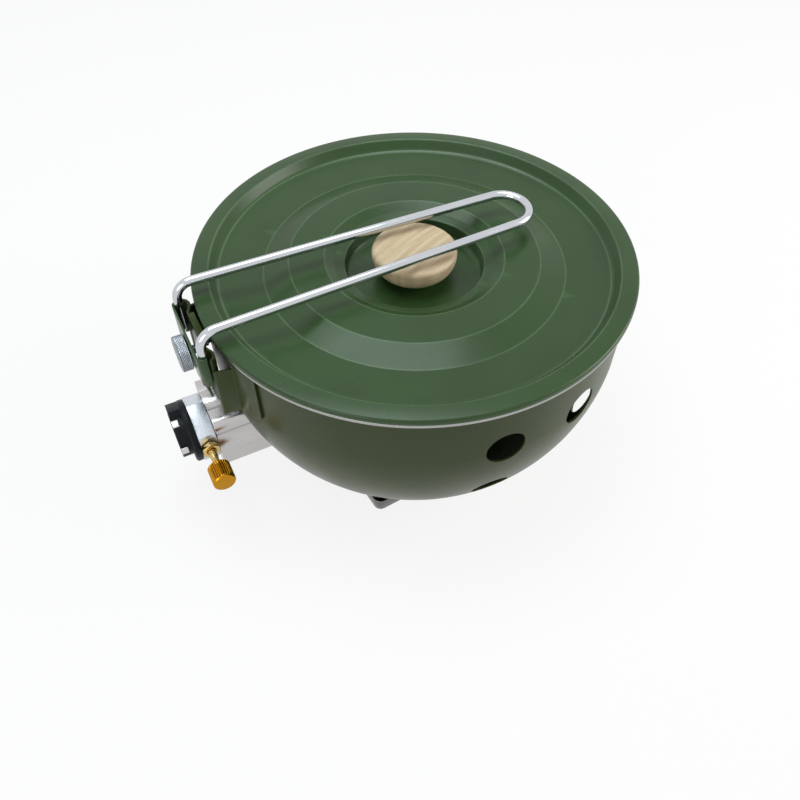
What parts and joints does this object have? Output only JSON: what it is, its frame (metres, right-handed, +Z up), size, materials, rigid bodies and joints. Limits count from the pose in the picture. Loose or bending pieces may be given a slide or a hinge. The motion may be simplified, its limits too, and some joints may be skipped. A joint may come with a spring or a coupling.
{
  "type": "cassette gas stove",
  "caption": "Round portable gas stove: green steel bowl with vents and a burner inside, pressed lid with a wooden knob, wire handle and a side canister connector.",
  "frame": {"origin": "centre of the stand tray's flat underside, on the bowl's axis at ground level", "axes": "+Z up along the bowl's axis; X along the wire handle, with the canister connector and the bracket towards -X; the flow knob points along -Y"},
  "size_m": [0.2699, 0.24, 0.1355],
  "materials": {
    "lid_green": "satin",
    "bowl_green": "satin",
    "stainless_sheet": "satin",
    "bright_steel": "polished",
    "nickel_plate": "satin",
    "aluminium": "satin",
    "brass": "polished",
    "black_plastic": "matte",
    "black_rubber": "matte",
    "pale_beech": "satin"
  },
  "bodies": {
    "stove": {"bowl_shell": "bowl_green", "handle_bracket": "bowl_green", "support_ring": "stainless_sheet", "stand_tray": "stainless_sheet", "burner_stand": "stainless_sheet", "tube_support": "stainless_sheet", "mixing_tube": "stainless_sheet", "burner_screw": "bright_steel", "collar_clip_upper": "bright_steel", "collar_clip_lower": "bright_steel", "clamp_bolt": "nickel_plate", "inlet_body": "aluminium", "valve_block": "aluminium", "burner_body": "aluminium", "gas_jet": "brass", "inlet_probe": "brass", "gland_nut": "brass", "burner_cap": "brass", "bayonet_collar": "black_plastic", "probe_seal": "black_rubber", "stem_seal": "black_rubber", "base_screw_1": "bright_steel", "base_nut_1": "bright_steel", "base_screw_2": "bright_steel", "base_nut_2": "bright_steel", "base_screw_3": "bright_steel", "base_nut_3": "bright_steel", "pot_arm_1": "stainless_sheet", "pot_arm_2": "stainless_sheet", "pot_arm_3": "stainless_sheet", "pot_arm_4": "stainless_sheet"},
    "lid": {"lid_shell": "lid_green", "lid_knob": "pale_beech", "knob_washer": "bright_steel", "knob_screw": "bright_steel"},
    "handle": {"handle_wire": "bright_steel", "clamp_plate": "lid_green"},
    "thumb": {"thumb_nut": "nickel_plate"},
    "flow": {"flow_knob": "brass", "valve_stem": "brass"}
  },
  "joints": [
    {"name": "handle_draw", "type": "slide", "parent": "stove", "child": "handle", "axis": [0, 0, 1], "range_m": [0, 0.032]},
    {"name": "lid_lift", "type": "slide", "parent": "stove", "child": "lid", "axis": [0, 0, 1], "range_m": [0, 0.032]},
    {"name": "thumb_nut_turn", "type": "hinge", "parent": "stove", "child": "thumb", "pos_m": [-0.1329, 0, 0.106], "axis": [-1, 0, 0], "range_deg": [0, 720]},
    {"name": "flow_knob_turn", "type": "hinge", "parent": "stove", "child": "flow", "pos_m": [-0.135, -0.0375, 0.0475], "axis": [0, -1, 0], "range_deg": [0, 540]}
  ],
  "couplings": [
    {"joint": "lid_lift", "follows": "handle_draw", "ratio": 1}
  ]
}
